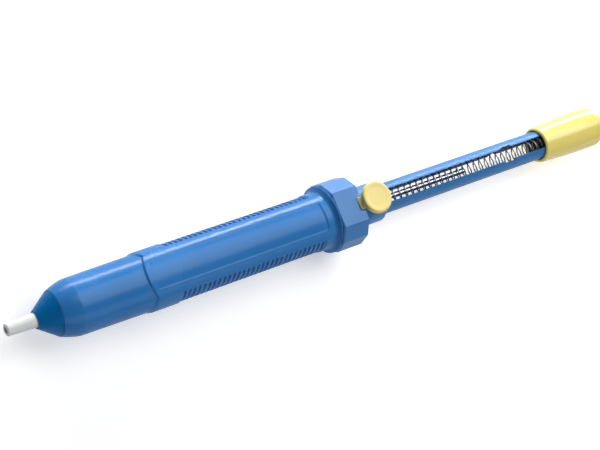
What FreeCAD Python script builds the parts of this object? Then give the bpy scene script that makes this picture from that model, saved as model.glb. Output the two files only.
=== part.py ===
import FreeCAD, Part
import math
import os
import Sketcher

# Desoldering pump, millimetres. Sketches count x from the nozzle tip along the axis, and every
# sub-part's Placement moves that to the shared frame: +X from tip to knob, +Z towards the button.
DIMENSIONS = {
    "overall_length": 366.0,
    "clearance": 0.3,
    # nozzle and nose
    "nozzle_bore_radius": 1.25,
    "nozzle_mouth_rounding": 0.8,
    "nozzle_tip_radius": 2.98,
    "nozzle_root_radius": 3.5,
    "nozzle_taper_end": 13.7,
    "nozzle_flange_radius": 6.0,
    "nozzle_flange_front": 20.5,
    "nozzle_flange_rear": 23.5,
    "nozzle_seal_rear": 25.0,
    "retainer_rear": 28.0,
    "retainer_hole_radius": 3.0,
    "cone_front": 14.3,
    "cone_front_radius": 4.2,
    "cone_hole_radius": 3.55,
    "cone_counterbore_radius": 6.1,
    "cone_mouth_rounding": 0.3,
    "seam": 23.8,
    "seam_radius": 11.0,
    "spigot_radius": 9.0,
    "spigot_rear": 34.0,
    "seal_groove_front": 29.0,
    "seal_section_radius": 0.7,
    # barrel
    "front_bore_radius": 9.1,
    "shoulder_rear": 31.5,
    "barrel_radius": 13.7,
    "cylinder_rear": 67.2,
    "cylinder_rear_radius": 14.06,
    "grip_front": 68.9,
    "grip_radius": 14.8,
    "grip_rear": 172.3,
    "rim_front": 175.0,
    "rim_radius": 17.3,
    "barrel_rear": 175.3,
    "bore_front": 38.0,
    "bore_radius": 11.5,
    "shoulder_rounding": 14.0,
    "panel_front": 69.9,
    "panel_rear": 168.9,
    "panel_span": 60.0,
    "panel_depth": 0.45,
    "rib_first": 84.5,
    "rib_pitch": 2.77,
    "rib_count": 30,
    "rib_gap": 1.25,
    "rib_crest_radius": 14.35,
    "rib_root_radius": 13.65,
    "rib_span": 74.0,
    # end cap
    "cap_front": 175.9,
    "cap_chamfer": 1.2,
    "cap_rear": 191.2,
    "cap_radius": 18.0,
    "cap_bore_radius": 9.4,
    "cap_spigot_radius": 11.4,
    "cap_spigot_front": 172.4,
    "cap_bush_rear": 189.0,
    "boss_radius": 10.2,
    "boss_rear": 209.4,
    "boss_rounding": 1.8,
    "notch_front": 188.6,
    "notch_half_width": 3.8,
    "notch_floor": 10.4,
    "bumper_front": 169.4,
    "gasket_inner_radius": 12.0,
    "gasket_radius": 16.6,
    # key, rod and springs
    "key_front": 205.5,
    "key_rear": 208.5,
    "key_half_width": 3.0,
    "key_half_height": 8.9,
    "rod_radius": 1.45,
    "rod_rear": 268.5,
    "rod_nut_front": 204.2,
    "rod_nut_radius": 2.9,
    "seat_thickness": 1.2,
    "seat_radius": 5.6,
    "spring_radius": 5.0,
    "spring_wire_radius": 0.4,
    "spring_pitch": 3.96,
    # plunger
    "tube_radius": 7.75,
    "tube_inner_radius": 6.25,
    "tube_front": 161.0,
    "tube_rear": 346.0,
    "slot_half_width": 3.4,
    "slot_front": 199.4,
    "slot_rear": 334.0,
    "slot_notch_centre": 295.5,
    "slot_notch_half_width": 4.3,
    "slot_notch_length": 7.0,
    "piston_length": 16.0,
    "piston_radius": 11.2,
    "piston_groove_floor": 9.42,
    "piston_groove_width": 2.4,
    "piston_ring_section": 1.0,
    "plug_rear": 173.0,
    "screw_radius": 1.6,
    "screw_head_radius": 3.4,
    "screw_head_length": 2.4,
    "screw_rear": 170.0,
    "piston_rounding": 0.6,
    "screw_head_rounding": 0.8,
    "screw_slot_depth": 1.2,
    "screw_slot_half_width": 0.5,
    "knob_front": 320.8,
    "knob_lip_rounding": 0.9,
    "knob_mouth_radius": 8.3,
    "knob_lip_radius": 9.7,
    "knob_waist_rear": 352.0,
    "knob_radius": 11.0,
    "knob_end_rounding": 6.5,
    "knob_cavity_radius": 6.0,
    "knob_cavity_rear": 362.5,
    # button
    "button_centre": 199.9,
    "button_radius": 8.25,
    "button_face": 17.5,
    "button_thickness": 3.0,
    "button_rounding": 0.7,
    "button_bar_front": 189.4,
    "button_bar_rear": 204.4,
    "button_bar_half_width": 3.25,
    "button_bar_top": 14.6,
    "button_bar_bottom": 12.8,
    "blade_centre": 202.0,
    "blade_half_thickness": 0.8,
    "blade_half_width": 3.0,
    "blade_shoulder_top": 4.1,
    "blade_shoulder_thickness": 1.8,
    "blade_shoulder_half_width": 4.0,
    "blade_top": 16.3,
    "button_seat": 9.0,
    "button_spring_radius": 4.2,
    "button_spring_wire_radius": 0.25,
    "button_pin_radius": 0.6,
    "button_pin_height": 13.8,
    "button_pin_length": 4.8,
}

doc = FreeCAD.newDocument("desoldering_pump")
sheet = doc.addObject("Spreadsheet::Sheet", "sizes")
subParts = []


def fillSheet():
    for row, (alias, size) in enumerate(DIMENSIONS.items(), start=1):
        sheet.set(f"A{row}", alias.replace("_", " "))
        sheet.set(f"B{row}", str(size))
        sheet.setAlias(f"B{row}", alias)
    doc.recompute()


def bound(formula):
    """Turns plain aliases in a formula into references to the sheet."""
    words = formula.replace("(", " ( ").replace(")", " ) ").split()
    return " ".join(f"sizes.{word}" if word in DIMENSIONS else word for word in words)


def value(formula):
    """The number a formula gives with the sheet's own values."""
    return float(sheet.evalExpression(bound(formula)))


def place(item, label):
    """Moves a sub-part from tip coordinates to the shared frame and lists it for export."""
    item.Label = label
    item.setExpression("Placement.Base.x", "-sizes.overall_length / 2")
    item.setExpression("Placement.Base.z", "sizes.cap_radius")
    subParts.append(item)


def newBody(name):
    body = doc.addObject("PartDesign::Body", name + "_body")
    place(body, name)
    return body


def originPlane(body, role):
    return next(feature for feature in body.Origin.OriginFeatures if feature.Role == role)


def bindPoint(sketch, index, name, formulas):
    """Ties the start of one sketch line to a pair of sheet formulas."""
    for axis, kind, line, formula in (("x", "DistanceX", -2, formulas[0]), ("y", "DistanceY", -1, formulas[1])):
        size = value(formula)
        if abs(size) < 1e-9:
            sketch.addConstraint(Sketcher.Constraint("PointOnObject", index, 1, line))
            continue
        number = sketch.addConstraint(Sketcher.Constraint(kind, -1, 1, index, 1, size))
        sketch.renameConstraint(number, f"{name}_{axis}{index}")
        sketch.setExpression(f"Constraints.{name}_{axis}{index}", bound(formula))


def addOutline(sketch, name, corners):
    """One closed outline of straight lines whose corners are all bound to the sheet."""
    first = sketch.GeometryCount
    points = [FreeCAD.Vector(value(across), value(up), 0) for across, up in corners]
    for start, end in zip(points, points[1:] + points[:1]):
        sketch.addGeometry(Part.LineSegment(start, end), False)
    count = len(points)
    for number in range(count):
        after = first + (number + 1) % count
        sketch.addConstraint(Sketcher.Constraint("Coincident", first + number, 2, after, 1))
    for number, formulas in enumerate(corners):
        bindPoint(sketch, first + number, name, formulas)


def newSketch(body, name, role, offset=None):
    """A sketch on one of the body's own origin planes, moved along its normal by a formula."""
    sketch = body.newObject("Sketcher::SketchObject", name)
    sketch.AttachmentSupport = [(originPlane(body, role), "")]
    sketch.MapMode = "FlatFace"
    if offset is not None:
        sketch.setExpression("AttachmentOffset.Base.z", bound(offset))
    return sketch


def outlineSketch(body, name, role, corners, offset=None):
    sketch = newSketch(body, name, role, offset)
    addOutline(sketch, name, corners)
    return sketch


def circleSketch(body, name, role, centre, radius, offset=None):
    sketch = newSketch(body, name, role, offset)
    middle = FreeCAD.Vector(value(centre[0]), value(centre[1]), 0)
    sketch.addGeometry(Part.Circle(middle, FreeCAD.Vector(0, 0, 1), value(radius)), False)
    number = sketch.addConstraint(Sketcher.Constraint("Radius", 0, value(radius)))
    sketch.renameConstraint(number, f"{name}_radius")
    sketch.setExpression(f"Constraints.{name}_radius", bound(radius))
    for axis, kind, line, formula in (("x", "DistanceX", -2, centre[0]), ("y", "DistanceY", -1, centre[1])):
        if abs(value(formula)) < 1e-9:
            sketch.addConstraint(Sketcher.Constraint("PointOnObject", 0, 3, line))
            continue
        number = sketch.addConstraint(Sketcher.Constraint(kind, -1, 1, 0, 3, value(formula)))
        sketch.renameConstraint(number, f"{name}_{axis}")
        sketch.setExpression(f"Constraints.{name}_{axis}", bound(formula))
    return sketch


def revolve(body, name, corners):
    """Turns an outline of (x, radius) corners right round the long axis."""
    feature = body.newObject("PartDesign::Revolution", name + "_turned")
    feature.Profile = outlineSketch(body, name, "XZ_Plane", corners)
    feature.ReferenceAxis = (feature.Profile[0], ["H_Axis"])
    feature.Angle = 360
    doc.recompute()
    return feature


def turned(name, corners):
    body = newBody(name)
    revolve(body, name, corners)
    return body


def tubePiece(name, front, rear, inner, outer):
    return turned(name, [(front, inner), (front, outer), (rear, outer), (rear, inner)])


def rodPiece(name, front, rear, outer):
    return turned(name, [(front, "0"), (front, outer), (rear, outer), (rear, "0")])


def pad(body, sketch, length, midplane=False, backwards=False):
    feature = body.newObject("PartDesign::Pad", sketch.Name + "_pad")
    feature.Profile = sketch
    feature.setExpression("Length", bound(length))
    feature.Midplane = midplane
    feature.Reversed = backwards
    doc.recompute()
    return feature


def pocket(body, sketch, length=None, backwards=False, midplane=False):
    """Cuts a sketch out of the body and stops when nothing was removed."""
    before = body.Shape.Volume
    feature = body.newObject("PartDesign::Pocket", sketch.Name + "_cut")
    feature.Profile = sketch
    feature.Midplane = midplane
    feature.Reversed = backwards
    if length is None:
        feature.Type = "ThroughAll"
    else:
        feature.setExpression("Length", bound(length))
    doc.recompute()
    if body.Shape.Volume >= before - 1e-6:
        raise RuntimeError(f"{feature.Name} removed nothing")
    return feature


def ringEdges(base, spot, radius):
    """Names of the circular edges at one place along the axis."""
    names = []
    for number, edge in enumerate(base.Shape.Edges, start=1):
        if not isinstance(edge.Curve, Part.Circle):
            continue
        near = abs(edge.Curve.Center.x - value(spot)) < 0.01
        if near and abs(edge.Curve.Radius - value(radius)) < 0.01:
            names.append(f"Edge{number}")
    return names


def dressEdges(body, kind, name, edges, size):
    """Rounds or chamfers the named edges of the body's last feature."""
    base = body.Tip
    before = body.Shape.Volume
    feature = body.newObject(f"PartDesign::{kind}", name)
    feature.Base = (base, edges)
    if kind == "Fillet":
        feature.Radius = size
    else:
        feature.Size = size
    doc.recompute()
    if body.Shape.isNull() or abs(body.Shape.Volume - before) < 1e-6:
        raise RuntimeError(f"{name} changed nothing")


def roundOff(body, name, spot, radius, size):
    dressEdges(body, "Fillet", name + "_fillet", ringEdges(body.Tip, spot, radius), size)


def box(low, high):
    """Corners of a rectangle from two opposite pairs of formulas."""
    return [low, (high[0], low[1]), high, (low[0], high[1])]


def makeNozzle():
    body = turned("nozzle_tip", [
        ("0", "nozzle_bore_radius"),
        ("0", "nozzle_tip_radius"),
        ("nozzle_taper_end", "nozzle_root_radius"),
        ("nozzle_flange_front", "nozzle_root_radius"),
        ("nozzle_flange_front", "nozzle_flange_radius"),
        ("nozzle_flange_rear", "nozzle_flange_radius"),
        ("nozzle_flange_rear", "nozzle_bore_radius"),
    ])
    roundOff(body, "nozzle_mouth", "0", "nozzle_tip_radius", value("nozzle_mouth_rounding"))
    tubePiece("nozzle_seal", "nozzle_flange_rear", "nozzle_seal_rear", "nozzle_bore_radius",
              "nozzle_flange_radius")
    tubePiece("nozzle_retainer", "nozzle_seal_rear", "retainer_rear", "retainer_hole_radius",
              "nozzle_flange_radius")


def makeNose():
    groove_rear = "seal_groove_front + 2 * seal_section_radius"
    groove_floor = "spigot_radius - 2 * seal_section_radius"
    body = turned("nose_cone", [
        ("cone_front", "cone_hole_radius"),
        ("cone_front", "cone_front_radius"),
        ("seam", "seam_radius"),
        ("seam", "spigot_radius"),
        ("seal_groove_front", "spigot_radius"),
        ("seal_groove_front", groove_floor),
        (groove_rear, groove_floor),
        (groove_rear, "spigot_radius"),
        ("spigot_rear", "spigot_radius"),
        ("spigot_rear", "cone_counterbore_radius"),
        ("nozzle_flange_front", "cone_counterbore_radius"),
        ("nozzle_flange_front", "cone_hole_radius"),
    ])
    roundOff(body, "cone_mouth", "cone_front", "cone_front_radius", value("cone_mouth_rounding"))
    ring("nose_seal", "seal_groove_front + seal_section_radius", "spigot_radius - seal_section_radius",
         "seal_section_radius")


def ring(name, spot, radius, section):
    """A seal ring of round section about the long axis."""
    torus = doc.addObject("Part::Torus", name + "_ring")
    place(torus, name)
    torus.setExpression("Radius1", bound(radius))
    torus.setExpression("Radius2", bound(section))
    torus.Placement.Rotation = FreeCAD.Rotation(FreeCAD.Vector(0, 1, 0), 90)
    torus.setExpression("Placement.Base.x", bound(f"{spot} - overall_length / 2"))
    doc.recompute()


def sideGroove(body, name, role, side, front, width, floor, span):
    """Cuts a ring section down to a floor radius over one side of the grip."""
    outside = f"{side} * ( grip_radius + 1 )"
    corners = box((front, f"{side} * {floor}"), (f"{front} + {width}", outside))
    before = body.Shape.Volume
    feature = body.newObject("PartDesign::Groove", name + "_groove")
    feature.Profile = outlineSketch(body, name, role, corners)
    feature.ReferenceAxis = (feature.Profile[0], ["H_Axis"])
    feature.Midplane = True
    feature.setExpression("Angle", bound(span))
    doc.recompute()
    if body.Shape.Volume >= before - 1e-6:
        raise RuntimeError(f"{feature.Name} removed nothing")
    return feature


def labelPanel(body, name, side):
    """A shallow recess that follows the grip's curve, for a label."""
    sideGroove(body, name, "XZ_Plane", side, "panel_front", "( panel_rear - panel_front )",
               "( grip_radius - panel_depth )", "panel_span")


def ribbedSide(body, name, side):
    """Lowers one side of the grip and cuts the gaps that leave its cross ribs."""
    span = "( rib_count * rib_pitch )"
    sideGroove(body, name + "_field", "XY_Plane", side, "rib_first", span, "rib_crest_radius", "rib_span")
    gap = sideGroove(body, name + "_gap", "XY_Plane", side, "rib_first", "rib_gap", "rib_root_radius",
                     "rib_span")
    pattern = body.newObject("PartDesign::LinearPattern", name + "_ribs")
    pattern.Originals = [gap]
    pattern.Direction = (originAxis(body), [""])
    pattern.setExpression("Length", bound("( rib_count - 1 ) * rib_pitch"))
    pattern.setExpression("Occurrences", "sizes.rib_count")
    body.Tip = pattern
    doc.recompute()


def originAxis(body):
    return next(feature for feature in body.Origin.OriginFeatures if feature.Role == "X_Axis")


def makeBarrel():
    body = turned("barrel", [
        ("seam", "front_bore_radius"),
        ("seam", "seam_radius"),
        ("shoulder_rear", "barrel_radius"),
        ("cylinder_rear", "cylinder_rear_radius"),
        ("grip_front", "grip_radius"),
        ("grip_rear", "grip_radius"),
        ("rim_front", "rim_radius"),
        ("barrel_rear", "rim_radius"),
        ("barrel_rear", "bore_radius"),
        ("bore_front", "bore_radius"),
        ("spigot_rear + clearance", "front_bore_radius"),
    ])
    roundOff(body, "shoulder", "shoulder_rear", "barrel_radius", value("shoulder_rounding"))
    labelPanel(body, "upper_panel", 1)
    labelPanel(body, "lower_panel", -1)
    ribbedSide(body, "left_side", 1)
    ribbedSide(body, "right_side", -1)


def capOutline():
    """Twelve-sided outline whose two upper facets are one wide flat."""
    corners = []
    for step in range(1, 12):
        angle = math.radians(30 * step)
        corners.append((f"cap_radius * {math.sin(angle):.9f}", f"cap_radius * {math.cos(angle):.9f}"))
    return corners


def makeCap():
    body = newBody("end_cap")
    sketch = outlineSketch(body, "cap_outline", "YZ_Plane", capOutline(), "cap_front")
    pad(body, sketch, "cap_rear - cap_front")
    edges = [f"Edge{number}" for number, edge in enumerate(body.Tip.Shape.Edges, start=1)
             if abs(edge.BoundBox.XMin - value("cap_front")) < 0.01 and edge.BoundBox.XLength < 0.01]
    dressEdges(body, "Chamfer", "cap_front_chamfer", edges, value("cap_chamfer") / 2)
    boss = circleSketch(body, "boss_circle", "YZ_Plane", ("0", "0"), "boss_radius", "cap_rear")
    pad(body, boss, "boss_rear - cap_rear")
    roundOff(body, "boss_end", "boss_rear", "boss_radius", value("boss_rounding"))
    spigot = circleSketch(body, "spigot_circle", "YZ_Plane", ("0", "0"), "cap_spigot_radius", "cap_front")
    pad(body, spigot, "cap_front - cap_spigot_front", backwards=True)
    passage = circleSketch(body, "tube_passage", "YZ_Plane", ("0", "0"), "tube_radius + clearance",
                           "boss_rear")
    pocket(body, passage)
    seat = circleSketch(body, "bush_seat", "YZ_Plane", ("0", "0"), "cap_bore_radius", "cap_bush_rear")
    pocket(body, seat, "cap_bush_rear - cap_spigot_front")
    cutButtonRoom(body)
    tubePiece("guide_bush", "cap_spigot_front", "cap_bush_rear", "tube_radius + clearance",
              "cap_bore_radius")
    tubePiece("cap_gasket", "barrel_rear", "cap_front", "gasket_inner_radius", "gasket_radius")
    tubePiece("end_bumper", "bumper_front", "cap_spigot_front", "tube_radius + clearance",
              "cap_spigot_radius")


def cutButtonRoom(body):
    """Notch in the cap's wide flat, spring seat and blade slot in the boss, and the key's seat."""
    notch = outlineSketch(body, "button_notch", "XY_Plane", box(
        ("notch_front", "- notch_half_width"), ("cap_rear + 1", "notch_half_width")), "notch_floor")
    pocket(body, notch, "cap_radius", backwards=True)
    seat = circleSketch(body, "button_spring_seat", "XY_Plane", ("blade_centre", "0"),
                        "button_spring_radius + button_spring_wire_radius + clearance", "button_seat")
    pocket(body, seat, "cap_radius", backwards=True)
    slot = outlineSketch(body, "blade_slot", "XY_Plane", box(
        ("blade_centre - blade_half_thickness - clearance", "- blade_half_width - clearance"),
        ("blade_centre + blade_half_thickness + clearance", "blade_half_width + clearance")))
    pocket(body, slot, "cap_radius", backwards=True)
    key = outlineSketch(body, "key_seat", "XY_Plane", box(
        ("key_front", "- key_half_width"), ("key_rear", "key_half_width")))
    pocket(body, key, "2 * key_half_height", midplane=True)


def makeKeyAndRod():
    body = newBody("cross_key")
    sketch = outlineSketch(body, "key_outline", "XY_Plane", box(
        ("key_front", "- key_half_width"), ("key_rear", "key_half_width")))
    pad(body, sketch, "2 * key_half_height", midplane=True)
    hole = circleSketch(body, "rod_hole", "YZ_Plane", ("0", "0"), "rod_radius", "key_rear")
    pocket(body, hole)
    rod = rodPiece("guide_rod", "rod_nut_front", "rod_rear", "rod_radius")
    roundOff(rod, "rod_end", "rod_rear", "rod_radius", 0.4)
    tubePiece("rod_nut", "rod_nut_front", "key_front", "rod_radius", "rod_nut_radius")
    tubePiece("front_spring_seat", "key_rear", "key_rear + seat_thickness", "rod_radius", "seat_radius")


def makeDriveSpring():
    """A round-wire coil with plain ends, between the two spring seats."""
    wire = value("spring_wire_radius")
    radius = value("spring_radius")
    front = value("key_rear + seat_thickness")
    height = value("knob_cavity_rear - seat_thickness") - front - 2 * wire
    pitch = height / round(height / value("spring_pitch"))
    path = Part.makeHelix(pitch, height, radius)
    start = FreeCAD.Vector(radius, 0, 0)
    slope = FreeCAD.Vector(0, 2 * math.pi * radius, pitch)
    section = Part.Wire([Part.makeCircle(wire, start, slope)])
    feature = doc.addObject("Part::Feature", "drive_spring_coil")
    feature.Label = "drive_spring"
    feature.Shape = Part.Wire(path).makePipeShell([section], True, True)
    turn = FreeCAD.Rotation(FreeCAD.Vector(0, 0, 1), FreeCAD.Vector(1, 0, 0))
    corner = FreeCAD.Vector(front + wire - value("overall_length") / 2, 0, value("cap_radius"))
    feature.Placement = FreeCAD.Placement(corner, turn)
    subParts.append(feature)


def makeButtonSpring():
    """The closed outer form of the small coil between the boss and the button's bar."""
    body = newBody("button_spring")
    outer = "button_spring_radius + button_spring_wire_radius"
    inner = "button_spring_radius - button_spring_wire_radius"
    height = "button_bar_bottom - button_seat"
    disc = circleSketch(body, "coil_outside", "XY_Plane", ("blade_centre", "0"), outer, "button_seat")
    pad(body, disc, height)
    hole = circleSketch(body, "coil_inside", "XY_Plane", ("blade_centre", "0"), inner, "button_seat")
    pocket(body, hole, height, backwards=True)


def makeTube():
    body = tubePiece("plunger_tube", "tube_front", "tube_rear", "tube_inner_radius", "tube_radius")
    slot = outlineSketch(body, "tube_slot", "XY_Plane", box(
        ("slot_front", "- slot_half_width"), ("slot_rear", "slot_half_width")))
    pocket(body, slot, "4 * tube_radius", midplane=True)
    notch = outlineSketch(body, "latch_notch", "XY_Plane", box(
        ("slot_notch_centre - slot_notch_length / 2", "- slot_notch_half_width"),
        ("slot_notch_centre + slot_notch_length / 2", "slot_notch_half_width")))
    pocket(body, notch, "4 * tube_radius", midplane=True)
    tubePiece("tube_plug", "tube_front", "plug_rear", "screw_radius", "tube_inner_radius")


def makePiston():
    rear = "( bumper_front - clearance )"
    front = f"( {rear} - piston_length )"
    groove = f"( {front} + 3 )"
    body = turned("piston", [
        (front, "screw_radius"),
        (front, "piston_radius"),
        (groove, "piston_radius"),
        (groove, "piston_groove_floor"),
        (f"{groove} + piston_groove_width", "piston_groove_floor"),
        (f"{groove} + piston_groove_width", "piston_radius"),
        (rear, "piston_radius"),
        (rear, "tube_radius"),
        ("tube_front", "tube_radius"),
        ("tube_front", "screw_radius"),
    ])
    roundOff(body, "piston_front", front, "piston_radius", value("piston_rounding"))
    ring("piston_ring", f"{groove} + piston_groove_width / 2", "piston_groove_floor + piston_ring_section",
         "piston_ring_section")
    head = f"( {front} - screw_head_length )"
    screw = turned("piston_screw", [
        (head, "0"),
        (head, "screw_head_radius"),
        (front, "screw_head_radius"),
        (front, "screw_radius"),
        ("screw_rear", "screw_radius"),
        ("screw_rear", "0"),
    ])
    roundOff(screw, "screw_head", head, "screw_head_radius", value("screw_head_rounding"))
    drive = outlineSketch(screw, "driver_slot", "XY_Plane", box(
        (head, "- screw_slot_half_width"), (f"{head} + screw_slot_depth", "screw_slot_half_width")))
    pocket(screw, drive, "3 * screw_head_radius", midplane=True)


def makeKnob():
    body = turned("knob", [
        ("knob_front", "knob_mouth_radius"),
        ("knob_front", "knob_lip_radius"),
        ("knob_waist_rear", "knob_radius"),
        ("overall_length", "knob_radius"),
        ("overall_length", "0"),
        ("knob_cavity_rear", "0"),
        ("knob_cavity_rear", "knob_cavity_radius"),
        ("tube_rear", "knob_cavity_radius"),
        ("tube_rear", "tube_radius"),
        ("knob_front + 2", "tube_radius"),
    ])
    roundOff(body, "knob_end", "overall_length", "knob_radius", value("knob_end_rounding"))
    roundOff(body, "knob_lip", "knob_front", "knob_lip_radius", value("knob_lip_rounding"))
    tubePiece("rear_spring_seat", "knob_cavity_rear - seat_thickness", "knob_cavity_rear",
              "rod_radius + 2 * clearance", "knob_cavity_radius")


def makeButton():
    body = newBody("release_button")
    disc = circleSketch(body, "button_disc", "XY_Plane", ("button_centre", "0"), "button_radius",
                        "button_face - button_thickness")
    pad(body, disc, "button_thickness")
    rim = [f"Edge{number}" for number, edge in enumerate(body.Tip.Shape.Edges, start=1)
           if abs(edge.BoundBox.ZMin - value("button_face")) < 0.01]
    dressEdges(body, "Fillet", "button_face_fillet", rim, value("button_rounding"))
    bar = outlineSketch(body, "button_bar", "XY_Plane", box(
        ("button_bar_front", "- button_bar_half_width"),
        ("button_bar_rear", "button_bar_half_width")), "button_bar_bottom")
    pad(body, bar, "button_bar_top - button_bar_bottom")
    slot = outlineSketch(body, "blade_socket", "XY_Plane", box(
        ("blade_centre - blade_half_thickness", "- blade_half_width"),
        ("blade_centre + blade_half_thickness", "blade_half_width")), "button_bar_bottom")
    pocket(body, slot, "blade_top - button_bar_bottom", backwards=True)
    pinHole = circleSketch(body, "pin_hole", "YZ_Plane", ("0", "button_pin_height"), "button_pin_radius",
                           "blade_centre")
    pocket(body, pinHole, "button_pin_length", midplane=True)
    makeBlade()
    makeButtonPin()


def makeBlade():
    """A T-shaped plate: its neck hangs from the button and its shoulders lie inside the tube."""
    body = newBody("latch_blade")
    under = "blade_shoulder_top - blade_shoulder_thickness"
    sketch = outlineSketch(body, "blade_outline", "YZ_Plane", [
        ("- blade_shoulder_half_width", under),
        ("blade_shoulder_half_width", under),
        ("blade_shoulder_half_width", "blade_shoulder_top"),
        ("blade_half_width", "blade_shoulder_top"),
        ("blade_half_width", "blade_top"),
        ("- blade_half_width", "blade_top"),
        ("- blade_half_width", "blade_shoulder_top"),
        ("- blade_shoulder_half_width", "blade_shoulder_top"),
    ], "blade_centre")
    pad(body, sketch, "2 * blade_half_thickness", midplane=True)
    hole = circleSketch(body, "blade_pin_hole", "YZ_Plane", ("0", "button_pin_height"),
                        "button_pin_radius", "blade_centre")
    pocket(body, hole, "4 * blade_half_thickness", midplane=True)


def makeButtonPin():
    body = newBody("button_pin")
    sketch = circleSketch(body, "pin_circle", "YZ_Plane", ("0", "button_pin_height"), "button_pin_radius",
                          "blade_centre")
    pad(body, sketch, "button_pin_length", midplane=True)


def checkDocument():
    doc.recompute()
    for item in doc.Objects:
        if "Invalid" in item.State or "Error" in item.State:
            raise RuntimeError(f"{item.Name} failed: {item.State}")
    for item in subParts:
        if item.Shape.isNull() or not item.Shape.isValid():
            raise RuntimeError(f"{item.Label} has no valid shape")


def exportParts():
    os.makedirs("parts", exist_ok=True)
    for item in subParts:
        item.Shape.exportStep(f"parts/{item.Label}.step")
        print(item.Label, len(item.Shape.Solids), round(item.Shape.Volume, 1))


fillSheet()
makeNozzle()
makeNose()
makeBarrel()
makeCap()
makeKeyAndRod()
makeDriveSpring()
makeButtonSpring()
makeTube()
makePiston()
makeKnob()
makeButton()
checkDocument()
exportParts()
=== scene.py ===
import bpy
import math
from mathutils import Matrix, Vector


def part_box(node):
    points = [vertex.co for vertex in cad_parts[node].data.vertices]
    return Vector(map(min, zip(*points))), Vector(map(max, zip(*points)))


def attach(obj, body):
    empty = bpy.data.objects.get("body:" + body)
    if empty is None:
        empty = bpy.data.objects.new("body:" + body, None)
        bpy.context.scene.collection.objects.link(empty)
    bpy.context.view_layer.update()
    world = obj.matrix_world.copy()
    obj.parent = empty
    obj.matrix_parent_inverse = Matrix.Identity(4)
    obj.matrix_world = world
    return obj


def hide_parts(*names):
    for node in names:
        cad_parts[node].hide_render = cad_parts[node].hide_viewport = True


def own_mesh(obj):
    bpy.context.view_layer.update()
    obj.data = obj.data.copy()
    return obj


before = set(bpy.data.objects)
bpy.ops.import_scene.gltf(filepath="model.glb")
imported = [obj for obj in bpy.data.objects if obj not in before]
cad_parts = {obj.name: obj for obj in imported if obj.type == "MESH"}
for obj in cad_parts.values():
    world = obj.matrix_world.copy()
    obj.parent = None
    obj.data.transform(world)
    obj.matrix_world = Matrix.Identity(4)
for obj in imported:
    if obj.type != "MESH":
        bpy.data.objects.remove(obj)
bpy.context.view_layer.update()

mm = 0.001
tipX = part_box("nozzle_tip")[0].x          # stations along the axis are millimetres from the nozzle's tip
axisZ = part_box("knob")[0].z / 2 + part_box("knob")[1].z / 2
print("frame loaded")


def station(node, end):
    # where a node starts (0) or ends (1) along the axis
    return (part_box(node)[end].x - tipX) / mm


def spot(x, y=0.0, height=0.0):
    # a place from its station, its side and its height above the axis, in millimetres
    return Vector((tipX + x * mm, y * mm, axisZ + height * mm))


def deselect():
    if bpy.context.object and bpy.context.object.mode != "OBJECT":
        bpy.ops.object.mode_set(mode="OBJECT")
    bpy.ops.object.select_all(action="DESELECT")


def pick(piece):
    deselect()
    piece.select_set(True)
    bpy.context.view_layer.objects.active = piece


def applyModifier(piece, kind, **settings):
    pick(piece)
    modifier = piece.modifiers.new(kind.title(), kind)
    for key, value in settings.items():
        setattr(modifier, key, value)
    bpy.ops.object.modifier_apply(modifier=modifier.name)


def settle(piece):
    # the place goes into the mesh, and the object stays at the origin
    pick(piece)
    bpy.ops.object.transform_apply(location=True, rotation=True, scale=True)


def cutWith(piece, cutter):
    applyModifier(piece, "BOOLEAN", object=cutter, operation="DIFFERENCE", solver="MANIFOLD")
    bpy.data.objects.remove(cutter)


def joinInto(piece, *others):
    pick(piece)
    for other in others:
        other.select_set(True)
    bpy.ops.object.join()


def smooth(piece, angle=32):
    pick(piece)
    bpy.ops.object.shade_smooth_by_angle(angle=math.radians(angle))
    applyModifier(piece, "WEIGHTED_NORMAL", keep_sharp=True)


def roundedPath(corners, steps=6):
    # corners are (station, radius, rounding); a rounding becomes an arc that touches both sides
    points = []
    for number, (x, r, rounding) in enumerate(corners):
        corner = Vector((x, r))
        if rounding == 0:
            points.append(corner)
            continue
        before = (Vector(corners[number - 1][:2]) - corner).normalized()
        after = (Vector(corners[(number + 1) % len(corners)][:2]) - corner).normalized()
        half = before.angle(after) / 2
        centre = corner + (before + after).normalized() * (rounding / math.sin(half))
        start = corner + before * (rounding / math.tan(half)) - centre
        end = corner + after * (rounding / math.tan(half)) - centre
        swing = end.angle_signed(start)
        for step in range(steps + 1):
            turn = swing * step / steps
            points.append(centre + Vector((start.x * math.cos(turn) - start.y * math.sin(turn),
                                           start.x * math.sin(turn) + start.y * math.cos(turn))))
    return points


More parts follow.
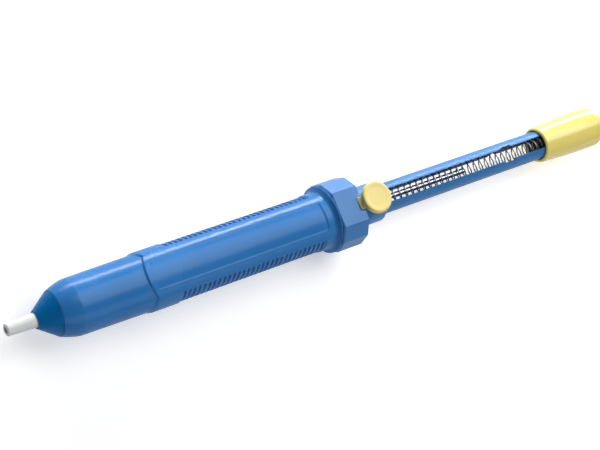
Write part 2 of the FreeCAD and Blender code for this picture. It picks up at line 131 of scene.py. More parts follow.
def turnPiece(name, corners, spins=96, steps=6, pivot=None, upright=False):
    # a closed outline, extruded point by point and spun round the long axis, or round an upright one
    path = roundedPath(corners, steps)
    path.append(path[0])
    centre = spot(0) if pivot is None else pivot
    deselect()
    first = path[0]
    place = Vector((centre.x + first.y * mm, centre.y, centre.z + first.x * mm)) if upright \
        else spot(first.x, 0, first.y)
    bpy.ops.mesh.primitive_plane_add(size=mm, location=place)
    piece = bpy.context.object
    piece.name = name
    bpy.ops.object.mode_set(mode="EDIT")
    bpy.ops.mesh.select_mode(type="VERT")
    bpy.ops.mesh.select_all(action="SELECT")
    bpy.ops.mesh.merge(type="CENTER")
    for here, there in zip(path, path[1:]):
        move = (there - here) * mm
        value = (move.y, 0, move.x) if upright else (move.x, 0, move.y)
        bpy.ops.mesh.extrude_region_move(TRANSFORM_OT_translate={"value": value})
    bpy.ops.mesh.select_all(action="SELECT")
    axis = (0, 0, 1) if upright else (1, 0, 0)
    bpy.ops.mesh.spin(steps=spins, angle=2 * math.pi, center=centre, axis=axis)
    bpy.ops.mesh.select_all(action="SELECT")
    bpy.ops.mesh.remove_doubles(threshold=1e-6)
    bpy.ops.mesh.delete_loose()
    bpy.ops.mesh.select_all(action="SELECT")
    bpy.ops.mesh.normals_make_consistent(inside=False)
    bpy.ops.object.mode_set(mode="OBJECT")
    settle(piece)
    return piece


def boxPiece(name, low, high):
    # a block between two corners in metres
    deselect()
    bpy.ops.mesh.primitive_cube_add(size=1, location=(low + high) / 2)
    piece = bpy.context.object
    piece.name = name
    piece.scale = high - low
    settle(piece)
    return piece


def cylinderAcross(name, centre, radius, depth, vertices=64):
    # an upright round cutter
    deselect()
    bpy.ops.mesh.primitive_cylinder_add(vertices=vertices, radius=radius, depth=depth, location=centre)
    piece = bpy.context.object
    piece.name = name
    settle(piece)
    return piece


def hand(piece, body, nodes, material, angle=32):
    # smooths, paints and hangs a finished piece on its body in place of its CAD nodes
    smooth(piece, angle)
    piece.data.materials.clear()
    piece.data.materials.append(material)
    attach(piece, body)
    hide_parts(*nodes)
    print(piece.name, "done,", len(piece.data.polygons), "faces")
    return piece


def newGroup(name, inputs, outputs):
    group = bpy.data.node_groups.new(name, "ShaderNodeTree")
    for label, kind, value in inputs:
        socket = group.interface.new_socket(name=label, in_out="INPUT", socket_type=kind)
        socket.default_value = value
    for label, kind in outputs:
        group.interface.new_socket(name=label, in_out="OUTPUT", socket_type=kind)
    return group, group.nodes.new("NodeGroupInput"), group.nodes.new("NodeGroupOutput")


def addNode(tree, kind, links=(), values=None, **settings):
    # links are (input, output socket) pairs, values are plain input values, settings the node's own
    node = tree.nodes.new(kind)
    for key, value in settings.items():
        setattr(node, key, value)
    for name, value in (values or {}).items():
        node.inputs[name].default_value = value
    for name, source in links:
        tree.links.new(source, node.inputs[name])
    return node


def stretchedCoordinates(tree, scale):
    place = addNode(tree, "ShaderNodeTexCoord")
    mapping = addNode(tree, "ShaderNodeMapping", [("Vector", place.outputs["Object"])], {"Scale": scale})
    return mapping.outputs["Vector"]


def twoColours(tree, share, given):
    # between a material's deep and light colour
    tint = addNode(tree, "ShaderNodeMix", data_type="RGBA")
    for number, source in ((0, share), (6, given.outputs["Deep"]), (7, given.outputs["Light"])):
        tree.links.new(source, tint.inputs[number])
    return tint.outputs[2]


def finishGroup(tree, given, result, colour, share, relief, strength, depth):
    # gloss between the two roughness values, relief as a bump, and all three to the group's outputs
    gloss = addNode(tree, "ShaderNodeMapRange", [
        ("Value", share), ("To Min", given.outputs["Smoothest"]), ("To Max", given.outputs["Roughest"])])
    bump = addNode(tree, "ShaderNodeBump", [("Height", relief), ("Strength", given.outputs[strength])],
                   {"Distance": depth})
    tree.links.new(colour, result.inputs["Colour"])
    tree.links.new(gloss.outputs["Result"], result.inputs["Roughness"])
    tree.links.new(bump.outputs["Normal"], result.inputs["Normal"])


surfaceOutputs = [("Colour", "NodeSocketColor"), ("Roughness", "NodeSocketFloat"),
                  ("Normal", "NodeSocketVector")]


def mouldedGroup():
    # moulded plastic: cloudy colour, uneven gloss, fine orange peel and long handling scuffs
    group, given, result = newGroup("mouldedSurface", [
        ("Deep", "NodeSocketColor", (0, 0, 0, 1)), ("Light", "NodeSocketColor", (1, 1, 1, 1)),
        ("Patch Scale", "NodeSocketFloat", 30.0), ("Grain Scale", "NodeSocketFloat", 1800.0),
        ("Smoothest", "NodeSocketFloat", 0.2), ("Roughest", "NodeSocketFloat", 0.35),
        ("Peel", "NodeSocketFloat", 0.1), ("Scuffs", "NodeSocketFloat", 0.3)], surfaceOutputs)
    plain = stretchedCoordinates(group, (1, 1, 1))
    long = stretchedCoordinates(group, (1, 14, 14))
    clouds = addNode(group, "ShaderNodeTexNoise", [
        ("Vector", plain), ("Scale", given.outputs["Patch Scale"])], {"Detail": 4.0})
    spread = addNode(group, "ShaderNodeMapRange", [("Value", clouds.outputs["Fac"])],
                     {"From Min": 0.3, "From Max": 0.7})
    grain = addNode(group, "ShaderNodeTexNoise", [
        ("Vector", plain), ("Scale", given.outputs["Grain Scale"])], {"Detail": 2.0})
    scuff = addNode(group, "ShaderNodeTexNoise", [("Vector", long)], {"Scale": 55.0, "Detail": 6.0})
    line = addNode(group, "ShaderNodeMapRange", [("Value", scuff.outputs["Fac"])],
                   {"From Min": 0.6, "From Max": 0.72})
    weight = addNode(group, "ShaderNodeMath", [(0, line.outputs["Result"]), (1, given.outputs["Scuffs"])],
                     operation="MULTIPLY")
    mixed = addNode(group, "ShaderNodeMath", [(0, clouds.outputs["Fac"]), (1, weight.outputs[0])],
                    operation="ADD", use_clamp=True)
    colour = twoColours(group, spread.outputs["Result"], given)
    finishGroup(group, given, result, colour, mixed.outputs[0], grain.outputs["Fac"], "Peel", 0.0002)
    return group


def drawnGroup():
    # drawn or ground metal: fine lines along one direction, uneven shine and darker handling marks
    group, given, result = newGroup("drawnMetal", [
        ("Deep", "NodeSocketColor", (0, 0, 0, 1)), ("Light", "NodeSocketColor", (1, 1, 1, 1)),
        ("Smoothest", "NodeSocketFloat", 0.15), ("Roughest", "NodeSocketFloat", 0.35),
        ("Lines", "NodeSocketFloat", 0.1)], surfaceOutputs)
    along = stretchedCoordinates(group, (0.06, 1, 1))
    lines = addNode(group, "ShaderNodeTexNoise", [("Vector", along)], {"Scale": 4200.0, "Detail": 3.0})
    plain = stretchedCoordinates(group, (1, 1, 1))
    marks = addNode(group, "ShaderNodeTexNoise", [("Vector", plain)], {"Scale": 160.0, "Detail": 5.0})
    colour = twoColours(group, marks.outputs["Fac"], given)
    finishGroup(group, given, result, colour, marks.outputs["Fac"], lines.outputs["Fac"], "Lines", 0.00005)
    return group


moulded = mouldedGroup()
drawn = drawnGroup()


def finishMaterial(name, group, surface, shader):
    # surface holds the group's values, shader the values that are the same all over
    material = bpy.data.materials.new(name)
    material.use_nodes = True
    tree = material.node_tree
    principled = tree.nodes["Principled BSDF"]
    effect = tree.nodes.new("ShaderNodeGroup")
    effect.node_tree = group
    for key, value in surface.items():
        effect.inputs[key].default_value = value
    for source, target in (("Colour", "Base Color"), ("Roughness", "Roughness"), ("Normal", "Normal")):
        tree.links.new(effect.outputs[source], principled.inputs[target])
    for key, value in shader.items():
        principled.inputs[key].default_value = value
    return material


materials = {
    "barrelBlue": finishMaterial("barrelBlue", moulded, {
        "Deep": (0.024, 0.180, 0.500, 1), "Light": (0.036, 0.215, 0.570, 1), "Patch Scale": 26.0,
        "Smoothest": 0.20, "Roughest": 0.32, "Peel": 0.10, "Scuffs": 0.15},
        {"Specular IOR Level": 0.22, "Coat Weight": 0.04, "Coat Roughness": 0.12, "Subsurface Weight": 0.06,
         "Subsurface Radius": (0.0004, 0.0008, 0.0020)}),
    "capBlue": finishMaterial("capBlue", moulded, {
        "Deep": (0.060, 0.220, 0.530, 1), "Light": (0.080, 0.260, 0.600, 1), "Patch Scale": 34.0,
        "Smoothest": 0.28, "Roughest": 0.42, "Peel": 0.14, "Scuffs": 0.25},
        {"Specular IOR Level": 0.28, "Coat Weight": 0.04, "Coat Roughness": 0.16, "Subsurface Weight": 0.05,
         "Subsurface Radius": (0.0004, 0.0008, 0.0020)}),
    "noseBlue": finishMaterial("noseBlue", moulded, {
        "Deep": (0.003, 0.160, 0.460, 1), "Light": (0.006, 0.205, 0.560, 1), "Patch Scale": 60.0,
        "Smoothest": 0.14, "Roughest": 0.24, "Peel": 0.06, "Scuffs": 0.1},
        {"Specular IOR Level": 0.15, "Coat Weight": 0.04, "Coat Roughness": 0.08, "Subsurface Weight": 0.22,
         "Subsurface Radius": (0.0008, 0.0020, 0.0050)}),
    "tubeBlue": finishMaterial("tubeBlue", moulded, {
        "Deep": (0.038, 0.190, 0.460, 1), "Light": (0.055, 0.225, 0.540, 1), "Patch Scale": 40.0,
        "Smoothest": 0.26, "Roughest": 0.42, "Peel": 0.12, "Scuffs": 0.4},
        {"Specular IOR Level": 0.25, "Coat Weight": 0.04, "Coat Roughness": 0.2, "Subsurface Weight": 0.05,
         "Subsurface Radius": (0.0004, 0.0008, 0.0020)}),
    "knobYellow": finishMaterial("knobYellow", moulded, {
        "Deep": (0.900, 0.740, 0.180, 1), "Light": (0.960, 0.810, 0.240, 1), "Patch Scale": 30.0,
        "Smoothest": 0.16, "Roughest": 0.28, "Peel": 0.07, "Scuffs": 0.3},
        {"Coat Weight": 0.35, "Coat Roughness": 0.1, "Subsurface Weight": 0.15,
         "Subsurface Radius": (0.0030, 0.0020, 0.0008)}),
    "buttonYellow": finishMaterial("buttonYellow", moulded, {
        "Deep": (0.880, 0.710, 0.220, 1), "Light": (0.930, 0.770, 0.270, 1), "Patch Scale": 90.0,
        "Smoothest": 0.30, "Roughest": 0.44, "Peel": 0.12, "Scuffs": 0.3},
        {"Coat Weight": 0.1, "Coat Roughness": 0.25, "Subsurface Weight": 0.12,
         "Subsurface Radius": (0.0030, 0.0020, 0.0008)}),
    "nozzleWhite": finishMaterial("nozzleWhite", moulded, {
        "Deep": (0.760, 0.790, 0.800, 1), "Light": (0.850, 0.870, 0.880, 1), "Patch Scale": 120.0,
        "Smoothest": 0.32, "Roughest": 0.48, "Peel": 0.18, "Scuffs": 0.6},
        {"Subsurface Weight": 0.35, "Subsurface Radius": (0.0030, 0.0030, 0.0030)}),
    "bushWhite": finishMaterial("bushWhite", moulded, {
        "Deep": (0.560, 0.540, 0.480, 1), "Light": (0.660, 0.640, 0.580, 1), "Patch Scale": 80.0,
        "Smoothest": 0.35, "Roughest": 0.5, "Peel": 0.15, "Scuffs": 0.5}, {}),
    "sealBlack": finishMaterial("sealBlack", moulded, {
        "Deep": (0.012, 0.012, 0.014, 1), "Light": (0.030, 0.030, 0.032, 1), "Patch Scale": 120.0,
        "Smoothest": 0.55, "Roughest": 0.75, "Peel": 0.35, "Scuffs": 0.3}, {"Specular IOR Level": 0.35}),
    "brightSteel": finishMaterial("brightSteel", drawn, {
        "Deep": (0.560, 0.560, 0.570, 1), "Light": (0.780, 0.780, 0.790, 1), "Smoothest": 0.10,
        "Roughest": 0.24, "Lines": 0.15}, {"Metallic": 1.0}),
    "springSteel": finishMaterial("springSteel", drawn, {
        "Deep": (0.330, 0.325, 0.320, 1), "Light": (0.600, 0.590, 0.580, 1), "Smoothest": 0.16,
        "Roughest": 0.34, "Lines": 0.25}, {"Metallic": 1.0}),
}
print("materials ready:", len(materials))

# the CAD nodes that keep their own shape
nodeMaterials = {
    "brightSteel": ["cross_key", "rod_nut", "front_spring_seat", "rear_spring_seat", "piston_screw",
                    "latch_blade", "button_pin"],
    "sealBlack": ["nozzle_seal", "nose_seal", "cap_gasket", "end_bumper", "piston_ring"],
    "bushWhite": ["guide_bush", "tube_plug", "piston"],
    "barrelBlue": ["nozzle_retainer"],
}
for materialName, nodeNames in nodeMaterials.items():
    for nodeName in nodeNames:
        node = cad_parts[nodeName]
        node.data.materials.clear()
        node.data.materials.append(materials[materialName])


nozzle = {"boreRadius": 1.25, "mouthRadius": 1.6, "mouthDepth": 1.0, "tipRadius": 2.98, "tipRounding": 0.75,
          "taperEnd": 13.7, "stemRadius": 3.5, "flangeFront": 20.5, "flangeRadius": 6.0, "rounding": 0.3}


def makeNozzle():
    # the taper ends just inside the cone, and the flange stands behind the cone's shoulder
    inside = station("nozzle_tip", 1)
    piece = turnPiece("nozzleTip", [
        (nozzle["mouthDepth"], nozzle["boreRadius"], 0), (0.0, nozzle["mouthRadius"], 0.2),
        (0.0, nozzle["tipRadius"], nozzle["tipRounding"]), (nozzle["taperEnd"], nozzle["stemRadius"], 0),
        (nozzle["flangeFront"], nozzle["stemRadius"], 0),
        (nozzle["flangeFront"], nozzle["flangeRadius"], nozzle["rounding"]),
        (inside, nozzle["flangeRadius"], nozzle["rounding"]), (inside, nozzle["boreRadius"], 0)], spins=64)
    hand(piece, "housing", ["nozzle_tip"], materials["nozzleWhite"])


nose = {"mouthRadius": 4.2, "seamRadius": 11.0, "mouthRounding": 0.45, "seamRounding": 0.3,
        "spigotRadius": 9.0, "spigotLength": 10.0, "holeRadius": 3.6, "holeRounding": 0.15,
        "holeDepth": 0.2, "shoulder": 20.4, "cavityRadius": 6.2, "spigotRounding": 0.3}


def makeNose():
    mouth = station("nose_cone", 0)
    seam = station("barrel", 0)
    spigot = seam + nose["spigotLength"]
    piece = turnPiece("noseCone", [
        (mouth + nose["holeDepth"], nose["holeRadius"], nose["holeRounding"]),
        (mouth, nose["mouthRadius"], nose["mouthRounding"]),
        (seam, nose["seamRadius"], nose["seamRounding"]), (seam, nose["spigotRadius"], 0),
        (spigot, nose["spigotRadius"], nose["spigotRounding"]),
        (spigot, nose["cavityRadius"], nose["spigotRounding"]), (nose["shoulder"], nose["cavityRadius"], 0),
        (nose["shoulder"], nose["holeRadius"], 0)], spins=128)
    hand(piece, "housing", ["nose_cone"], materials["noseBlue"])


makeNozzle()
makeNose()


# the barrel with its moulded grip; angles are in degrees, and the gap's values are shares of a rib's pitch
grip = {"seam": 23.8, "shoulder": 33.0, "shoulderBulge": 0.45, "cylinderFront": 13.7, "cylinderRear": 14.06,
        "edge": 67.1, "edgeSwing": 3.5, "sideSwing": 2.2, "bowFront": 44.0, "bowFull": 64.0, "bowKept": 72.0,
        "bowRear": 83.0, "edgeSoft": 0.5, "sideSoft": 1.3, "band": 14.8, "bandRear": 172.0,
        "rim": 17.3, "rimFront": 174.7, "flarePower": 2.2, "rimRounding": 0.3, "rimCorner": 0.09,
        "panelFront": 69.5, "panelRear": 168.9, "panelAngle": 30.0, "panelDepth": 0.45, "panelCorner": 1.6,
        "panelSoft": 0.38, "ribFirst": 84.6, "ribPitch": 2.77, "ribCount": 30, "ribHalfAngle": 39.0,
        "ribCrest": 14.32, "ribDepth": 0.95, "gapCentre": 0.22, "gapEdge": 0.34, "gapFloor": 0.10,
        "bore": 11.5, "boreRear": 11.8, "boreFront": 38.0, "seatFront": 34.3, "seat": 9.1, "lip": 10.6}


def ease(value, low, high):
    # 0 before low, 1 after high, smooth between
    share = min(1.0, max(0.0, (value - low) / (high - low)))
    return share * share * (3 - 2 * share)


def panelAngleOf(angle):
    # degrees from the nearest label panel's middle, 0 to 90
    turn = math.degrees(angle) % 180
    return min(turn, 180 - turn)


def gripEdgeShift(off):
    # the grip's front edge bows forward over the panels and a little over the ribbed sides
    if off < 45:
        return grip["edgeSwing"] * (off / 45) ** 2
    return grip["edgeSwing"] - grip["sideSwing"] * (1 - ((off - 90) / 45) ** 2)


def barrelPoint(row, angle):
    # station and radius of the outer surface; rows follow the bowed edge near the grip's front
    off = panelAngleOf(angle)
    bow = ease(row, grip["bowFront"], grip["bowFull"]) * (1 - ease(row, grip["bowKept"], grip["bowRear"]))
    x = row + gripEdgeShift(off) * bow
    seam, shoulder = grip["seam"], grip["shoulder"]
    if row < shoulder:
        share = (row - seam) / (shoulder - seam)
        bulge = (1 - grip["shoulderBulge"]) * share + grip["shoulderBulge"] * (1 - (1 - share) ** 2)
        return x, nose["seamRadius"] + (grip["cylinderFront"] - nose["seamRadius"]) * bulge
    radius = grip["cylinderFront"] + (grip["cylinderRear"] - grip["cylinderFront"]) * min(
        1.0, (row - shoulder) / (grip["edge"] - shoulder))
    soft = grip["edgeSoft"] + grip["sideSoft"] * ease(off, 45, 70)
    radius += (grip["band"] - grip["cylinderRear"]) * ease(row, grip["edge"] - soft, grip["edge"] + soft)
    radius -= panelDrop(row, off) + ribDrop(row, off)
    flare = max(0.0, min(1.0, (row - grip["bandRear"]) / (grip["rimFront"] - grip["bandRear"])))
    radius += (grip["rim"] - grip["band"]) * flare ** grip["flarePower"]
    return x, radius


def panelDrop(row, off):
    # recessed label panel with softened corners
    inX = min(row - grip["panelFront"], grip["panelRear"] - row)
    inY = math.radians(grip["panelAngle"] - off) * grip["band"]
    corner = grip["panelCorner"]
    if inX < corner and inY < corner:
        depth = corner - math.hypot(corner - inX, corner - inY)
    else:
        depth = min(inX, inY)
    return grip["panelDepth"] * ease(depth, -0.05, grip["panelSoft"])


def ribDrop(row, off):
    # a lowered field over each side, with round-topped cross ribs standing in it
    field = grip["ribHalfAngle"] - (90 - off)
    span = grip["ribPitch"] * grip["ribCount"]
    along = row - grip["ribFirst"]
    inside = ease(math.radians(field) * grip["band"], 0.0, 0.55)
    inside *= ease(along, -0.35, 0.35) * (1 - ease(along, span - 0.9, span - 0.2))
    wave = (along / grip["ribPitch"]) % 1.0
    gap = ease(abs(wave - grip["gapCentre"]), grip["gapEdge"], grip["gapFloor"])
    return inside * (grip["band"] - grip["ribCrest"] + grip["ribDepth"] * gap)


def barrelRows():
    # rows crowd where the shape turns, nine to each rib
    ribsRear = 167.7
    spans = [(grip["seam"], grip["shoulder"], 22), (grip["shoulder"], 64.0, 10), (64.0, 73.0, 44),
             (73.0, grip["ribFirst"], 14), (grip["ribFirst"], ribsRear, 9 * grip["ribCount"]),
             (ribsRear, grip["bandRear"], 12), (grip["bandRear"], 175.0, 14)]
    rows = []
    for low, high, count in spans:
        rows += [low + (high - low) * step / count for step in range(count)]
    return rows


def makeBarrel():
    rows = barrelRows()
    rear = station("barrel", 1)
    rounding, corner = grip["rimRounding"], grip["rimCorner"]
    closing = [                                        # round the rim, then forward along the bore
        (rear - rounding, grip["rim"]), (rear - corner, grip["rim"] - corner), (rear, grip["rim"] - rounding),
        (rear, grip["boreRear"]), (rear - 0.2, grip["bore"]), (grip["boreFront"], grip["bore"]),
        (grip["seatFront"], grip["seat"]), (grip["seam"], grip["seat"]), (grip["seam"], grip["lip"])]
    around = 192
    deselect()
    bpy.ops.mesh.primitive_grid_add(x_subdivisions=len(rows) + len(closing), y_subdivisions=around)
    piece = bpy.context.object
    piece.name = "barrelShell"
    places = []
    for turn in range(around + 1):
        angle = 2 * math.pi * turn / around
        ring = [barrelPoint(row, angle) for row in rows] + closing
        for x, radius in ring + ring[:1]:
            places.extend(spot(x, radius * math.sin(angle), radius * math.cos(angle)))
    piece.data.vertices.foreach_set("co", places)
    piece.data.update()
    pick(piece)
    bpy.ops.object.mode_set(mode="EDIT")
    bpy.ops.mesh.select_mode(type="VERT")
    bpy.ops.mesh.select_all(action="SELECT")
    bpy.ops.mesh.remove_doubles(threshold=1e-6)
    bpy.ops.mesh.select_all(action="SELECT")
    bpy.ops.mesh.normals_make_consistent(inside=False)
    bpy.ops.object.mode_set(mode="OBJECT")
    hand(piece, "housing", ["barrel"], materials["barrelBlue"], 50)


makeBarrel()


cap = {"radius": 18.0, "prismFront": 3.5, "prismRear": 191.2, "chamfer": 0.7, "edge": 0.35, "bore": 8.05,
       "notchHalf": 3.8, "notchSplay": 1.0, "notchFloor": 10.4, "notchDepth": 2.5,
       "dimpleRadius": 3.5, "dimpleDepth": 0.55, "bossRadius": 10.2, "bossRounding": 1.9,
       "seatCentre": 202.0, "seatRadius": 4.75, "seatFloor": 9.0,
       "keyFront": 200.9, "keyRear": 203.1, "keyHalf": 3.3,
       "spigotFront": 172.5, "spigotInner": 9.5, "spigotRadius": 11.4}


def capPrism(front, rear):
    # twelve sides; the vertex towards the button drops, which leaves one wide flat
    deselect()
    bpy.ops.mesh.primitive_cylinder_add(vertices=12, radius=cap["radius"] * mm, depth=(rear - front) * mm,
                                        location=spot((front + rear) / 2), rotation=(0, math.pi / 2, 0))
    piece = bpy.context.object
    piece.name = "endCap"
    settle(piece)
    for vertex in piece.data.vertices:
        if vertex.co.z > axisZ + (cap["radius"] - 0.1) * mm:
            vertex.co.z = axisZ + cap["radius"] * math.cos(math.radians(30)) * mm
    bpy.ops.object.mode_set(mode="EDIT")
    bpy.ops.mesh.select_all(action="SELECT")
    bpy.ops.mesh.dissolve_limited(angle_limit=math.radians(1))
    bpy.ops.mesh.select_all(action="DESELECT")
    bpy.ops.object.mode_set(mode="OBJECT")
    for edge in piece.data.edges:
        edge.select = all(abs(piece.data.vertices[v].co.x - spot(front).x) < 1e-6 for v in edge.vertices)
    bpy.ops.object.mode_set(mode="EDIT")
    bpy.ops.mesh.select_mode(type="EDGE")
    bpy.ops.mesh.bevel(offset=cap["chamfer"] * mm, segments=1)
    bpy.ops.object.mode_set(mode="OBJECT")
    return piece


def notchCutter(rear):
    # sides splay outwards to the rear
    low = spot(rear - cap["notchDepth"], -cap["notchHalf"], cap["notchFloor"])
    high = spot(rear + 1.0, cap["notchHalf"], cap["radius"])
    cutter = boxPiece("notchCutter", low, high)
    for vertex in cutter.data.vertices:
        if vertex.co.x > spot(rear).x:
            vertex.co.y += math.copysign(cap["notchSplay"] * mm, vertex.co.y)
    return cutter


def makeCap():
    front, rear, end = station("end_cap", 0) + cap["prismFront"], cap["prismRear"], station("end_cap", 1)
    piece = capPrism(front, rear)
    flat = cap["radius"] * math.cos(math.radians(30))
    bore = turnPiece("boreCutter", [
        (front - 1, 0, 0), (front - 1, cap["bore"], 0), (rear + 1, cap["bore"], 0), (rear + 1, 0, 0)], spins=64)
    cutWith(piece, bore)
    cutWith(piece, notchCutter(rear))
    dimplePlace = spot(rear - cap["notchDepth"] + 0.3, 0, flat + 2 - cap["dimpleDepth"])
    dimple = cylinderAcross("dimpleCutter", dimplePlace, cap["dimpleRadius"] * mm, 4 * mm)
    cutWith(piece, dimple)
    applyModifier(piece, "BEVEL", width=cap["edge"] * mm, segments=3, limit_method="ANGLE",
                  angle_limit=math.radians(25))
    boss = turnPiece("boss", [
        (rear - 0.5, cap["bore"], 0), (rear - 0.5, cap["bossRadius"], 0),
        (end, cap["bossRadius"], cap["bossRounding"]), (end, cap["bore"], 0.4)], spins=96)
    seat = cylinderAcross("seatCutter", spot(cap["seatCentre"], 0, cap["seatFloor"] + 5),
                          cap["seatRadius"] * mm, 10 * mm)
    cutWith(boss, seat)
    keySlot = boxPiece("slotCutter", spot(cap["keyFront"], -cap["keyHalf"], 0),
                       spot(cap["keyRear"], cap["keyHalf"], 12))
    cutWith(boss, keySlot)
    spigot = turnPiece("spigot", [
        (cap["spigotFront"], cap["spigotInner"], 0), (cap["spigotFront"], cap["spigotRadius"], 0.3),
        (front + 0.5, cap["spigotRadius"], 0), (front + 0.5, cap["spigotInner"], 0)], spins=64)
    joinInto(piece, boss, spigot)
    hand(piece, "housing", ["end_cap"], materials["capBlue"])


makeCap()


tube = {"radius": 7.75, "inner": 6.25, "mouthRounding": 0.3, "slotHalf": 3.4, "slotFront": 199.4,
        "slotRear": 334.0, "notchHalf": 4.3, "notchCentre": 295.5, "notchLength": 7.0, "edge": 0.16}


def makeTube():
    front, rear = station("plunger_tube", 0), station("plunger_tube", 1)
    piece = turnPiece("plungerTube", [
        (front, tube["inner"], 0), (front, tube["radius"], tube["mouthRounding"]), (rear, tube["radius"], 0),
        (rear, tube["inner"], 0)], spins=128)
    slot = boxPiece("slotCutter", spot(tube["slotFront"], -tube["slotHalf"], -12),
                    spot(tube["slotRear"], tube["slotHalf"], 12))
    cutWith(piece, slot)
    half = tube["notchLength"] / 2
    notch = boxPiece("notchCutter", spot(tube["notchCentre"] - half, -tube["notchHalf"], -12),
                     spot(tube["notchCentre"] + half, tube["notchHalf"], 12))
    cutWith(piece, notch)
    applyModifier(piece, "BEVEL", width=tube["edge"] * mm, segments=2, limit_method="ANGLE",
                  angle_limit=math.radians(40))
    hand(piece, "plunger", ["plunger_tube"], materials["tubeBlue"])


knob = {"mouthRadius": 8.3, "lip": 9.7, "lipRounding": 1.1, "waist": 336.0, "waistRadius": 10.45,
        "waistRounding": 40.0, "waistRear": 352.0, "radius": 11.0, "sideRounding": 30.0, "endRadius": 10.9,
        "endRounding": 6.4, "cavity": 6.0, "cavityFront": 346.0, "cavityRear": 362.5, "socket": 7.75,
        "socketStart": 2.0}


def makeKnob():
    front, rear = station("knob", 0), station("knob", 1)
    piece = turnPiece("knobGrip", [
        (front, knob["mouthRadius"], 0.25), (front, knob["lip"], knob["lipRounding"]),
        (knob["waist"], knob["waistRadius"], knob["waistRounding"]),
        (knob["waistRear"], knob["radius"], knob["sideRounding"]),
        (rear, knob["endRadius"], knob["endRounding"]), (rear, 0, 0), (knob["cavityRear"], 0, 0),
        (knob["cavityRear"], knob["cavity"], 0.5), (knob["cavityFront"], knob["cavity"], 0),
        (knob["cavityFront"], knob["socket"], 0), (front + knob["socketStart"], knob["socket"], 0)],
        spins=128, steps=14)
    hand(piece, "plunger", ["knob"], materials["knobYellow"], 40)


makeTube()
makeKnob()


rod = {"radius": 1.45, "frontRounding": 0.2, "rearRounding": 0.45}


def makeRod():
    front, rear = station("guide_rod", 0), station("guide_rod", 1)
    piece = turnPiece("guideRod", [
        (front, 0, 0), (front, rod["radius"], rod["frontRounding"]),
        (rear, rod["radius"], rod["rearRounding"]), (rear, 0, 0)], spins=48)
    hand(piece, "housing", ["guide_rod"], materials["brightSteel"])


def coil(name, start, radius, wire, length, turns, along, slices, sides):
    # a wire circle screwed along an axis at an even pitch, its two cut ends closed
    deselect()
    place = start + (Vector((0, 0, radius)) if along == "X" else Vector((radius, 0, 0)))
    rotation = (math.pi / 2, 0, 0)
    bpy.ops.mesh.primitive_circle_add(vertices=sides, radius=wire, location=place, rotation=rotation)
    piece = bpy.context.object
    piece.name = name
    settle(piece)
    piece.data.transform(Matrix.Translation(-start))
    applyModifier(piece, "SCREW", axis=along, angle=2 * math.pi, screw_offset=(length - 2 * wire) / turns,
                  iterations=turns, steps=slices, render_steps=slices, use_merge_vertices=False)
    bpy.ops.object.mode_set(mode="EDIT")
    bpy.ops.mesh.select_all(action="SELECT")
    bpy.ops.mesh.remove_doubles(threshold=1e-7)
    bpy.ops.mesh.select_all(action="DESELECT")
    bpy.ops.mesh.select_mode(type="VERT")
    bpy.ops.mesh.select_non_manifold()
    bpy.ops.mesh.fill_holes(sides=0)
    bpy.ops.mesh.select_all(action="SELECT")
    bpy.ops.mesh.normals_make_consistent(inside=False)
    bpy.ops.object.mode_set(mode="OBJECT")
    shift = start + (Vector((wire, 0, 0)) if along == "X" else Vector((0, 0, wire)))
    piece.data.transform(Matrix.Translation(shift))
    return piece


springs = {"driveRadius": 5.0, "driveWire": 0.4, "driveTurns": 38, "buttonRadius": 4.2, "buttonWire": 0.25,
           "buttonTurns": 4}


def makeSprings():
    low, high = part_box("drive_spring")
    length = high.x - low.x
    spring = coil("driveSpring", Vector((low.x, 0, axisZ)), springs["driveRadius"] * mm,
                  springs["driveWire"] * mm, length, springs["driveTurns"], "X", 28, 10)
    hand(spring, "housing", ["drive_spring"], materials["springSteel"], 60)
    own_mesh(spring)
    low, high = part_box("button_spring")
    height = high.z - low.z
    middle = Vector(((low.x + high.x) / 2, 0, low.z))
    small = coil("buttonSpring", middle, springs["buttonRadius"] * mm, springs["buttonWire"] * mm, height,
                 springs["buttonTurns"], "Z", 32, 10)
    hand(small, "housing", ["button_spring"], materials["springSteel"], 60)
    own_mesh(small)


makeRod()
makeSprings()


button = {"centre": 199.9, "radius": 8.25, "face": 17.5, "thickness": 3.0, "rounding": 0.9, "dish": 0.18,
          "dishRadius": 5.0, "dishRim": 6.9, "barHalf": 3.25, "barFront": 190.6, "barRear": 204.4,
          "barLow": 12.8, "barHigh": 14.6, "barSlope": 1.0, "barEdge": 0.3}


def makeButton():
    under = button["face"] - button["thickness"]
    dish = button["face"] - button["dish"]
    middle = spot(button["centre"])
    piece = turnPiece("releaseButton", [
        (dish, 0, 0), (dish, button["dishRadius"], 3.0), (button["face"], button["dishRim"], 1.2),
        (button["face"], button["radius"], button["rounding"]),
        (under, button["radius"], 0.5), (under, 0, 0)], spins=128, pivot=middle, upright=True)
    bar = boxPiece("bar", spot(button["barFront"], -button["barHalf"], button["barLow"]),
                   spot(button["barRear"], button["barHalf"], button["barHigh"]))
    for vertex in bar.data.vertices:             # its top slopes down to the front
        if vertex.co.x < middle.x and vertex.co.z > spot(0, 0, button["barLow"] + 1).z:
            vertex.co.z -= button["barSlope"] * mm
    applyModifier(bar, "BEVEL", width=button["barEdge"] * mm, segments=3)
    joinInto(piece, bar)
    hand(piece, "button", ["release_button"], materials["buttonYellow"])


makeButton()
print("pieces modelled")


# angles in degrees, places in millimetres
view = {"lean": 31.05, "roll": -19.18, "turn": -6.5, "aim": 161.4, "rise": 1.3, "distance": 784.5,
        "lens": 94.85}


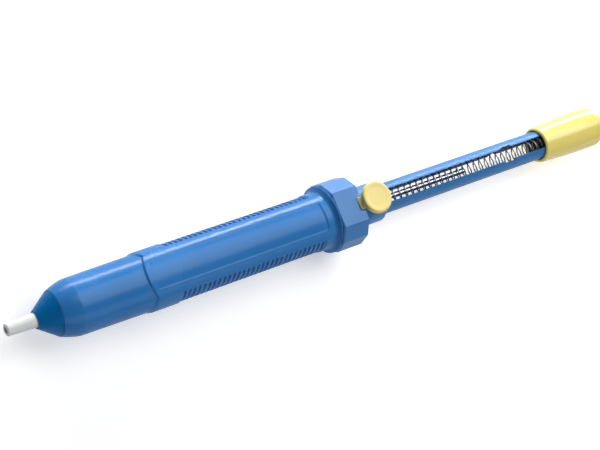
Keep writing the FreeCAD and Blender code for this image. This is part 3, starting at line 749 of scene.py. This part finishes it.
def makeCamera():
    lean, roll, turn = (math.radians(view[key]) for key in ("lean", "roll", "turn"))
    nearSide = Vector((0, math.sin(turn), math.cos(turn)))         # object directions, square to its axis
    lowSide = Vector((0, -math.cos(turn), math.sin(turn)))
    along = Vector((math.cos(roll) * math.cos(lean), math.sin(roll) * math.cos(lean), math.sin(lean)))
    near = Vector((math.cos(roll) * math.sin(lean), math.sin(roll) * math.sin(lean), -math.cos(lean)))
    low = Vector((-math.sin(roll), math.cos(roll), 0))
    right, down, forward = (Vector((along[i], 0, 0)) + nearSide * near[i] + lowSide * low[i]
                            for i in range(3))
    place = spot(view["aim"]) - forward * view["distance"] * mm - down * view["rise"] * mm
    bpy.ops.object.camera_add(location=place)
    camera = bpy.context.object
    camera.name = "camera"
    camera.data.lens = view["lens"]
    camera.data.clip_start = 0.01
    camera.rotation_mode = "QUATERNION"
    camera.rotation_quaternion = Matrix((right, -down, -forward)).transposed().to_quaternion()
    bpy.context.scene.camera = camera
    print("camera set")


studio = {"floorGlow": 0.42, "floorBounce": 0.80, "horizon": 0.80, "zenith": 0.85}
lights = {                                             # place, width, height and power
    "overhead": ((0.55, 0.30, 1.30), 1.4, 1.2, 18.0),
    "streak": ((0.62, 1.01, 0.20), 1.8, 0.16, 22.0),
    "fill": ((-0.10, -1.00, 0.55), 1.8, 0.6, 3.6),
}


def softLight(name, place, width, height, power):
    # a soft box facing the middle of the object, its long side level
    deselect()
    bpy.ops.object.light_add(type="AREA", location=place)
    light = bpy.context.object
    light.name = name
    light.data.shape = "RECTANGLE"
    light.data.size = width
    light.data.size_y = height
    light.data.energy = power
    light.rotation_mode = "QUATERNION"
    light.rotation_quaternion = Vector(place).to_track_quat("Z", "Y")


def floorMaterial():
    # the camera sees a clean pale sheet; the object itself gets less light back from it
    material = finishMaterial("floorPale", moulded, {
        "Deep": (0.80, 0.80, 0.80, 1), "Light": (0.84, 0.84, 0.84, 1), "Patch Scale": 2.0,
        "Smoothest": 0.8, "Roughest": 0.9, "Peel": 0.0, "Scuffs": 0.0}, {"Specular IOR Level": 0.0})
    tree = material.node_tree
    seen = addNode(tree, "ShaderNodeLightPath")
    glow = addNode(tree, "ShaderNodeMath", [(0, seen.outputs["Is Camera Ray"])], {1: studio["floorGlow"]},
                   operation="MULTIPLY")
    principled = tree.nodes["Principled BSDF"]
    principled.inputs["Emission Color"].default_value = (1, 1, 1, 1)
    tree.links.new(glow.outputs[0], principled.inputs["Emission Strength"])
    colour = principled.inputs["Base Color"].links[0].from_socket
    dim = addNode(tree, "ShaderNodeMix", [("Factor", seen.outputs["Is Camera Ray"]), (7, colour)],
                  {6: (studio["floorBounce"],) * 3 + (1,)}, data_type="RGBA")
    tree.links.new(dim.outputs[2], principled.inputs["Base Color"])
    return material


def makeWorld():
    # a little brighter overhead than at the horizon
    world = bpy.data.worlds.new("studio")
    world.use_nodes = True
    tree = world.node_tree
    direction = addNode(tree, "ShaderNodeTexCoord")
    parts = addNode(tree, "ShaderNodeSeparateXYZ", [("Vector", direction.outputs["Generated"])])
    shade = addNode(tree, "ShaderNodeMapRange", [("Value", parts.outputs["Z"])], {
        "From Min": 0.15, "From Max": 0.95, "To Min": studio["horizon"], "To Max": studio["zenith"]})
    tree.links.new(shade.outputs["Result"], tree.nodes["Background"].inputs["Strength"])
    bpy.context.scene.world = world


def makeStudio():
    deselect()
    bpy.ops.mesh.primitive_plane_add(size=8.0, location=(0, 0, 0))
    floor = bpy.context.object
    floor.name = "floor"
    floor.data.materials.append(floorMaterial())
    makeWorld()
    for name, (place, width, height, power) in lights.items():
        softLight(name, place, width, height, power)
    bpy.context.scene.view_settings.view_transform = "Standard"
    print("studio lit")


makeCamera()
makeStudio()

print("scene ready")
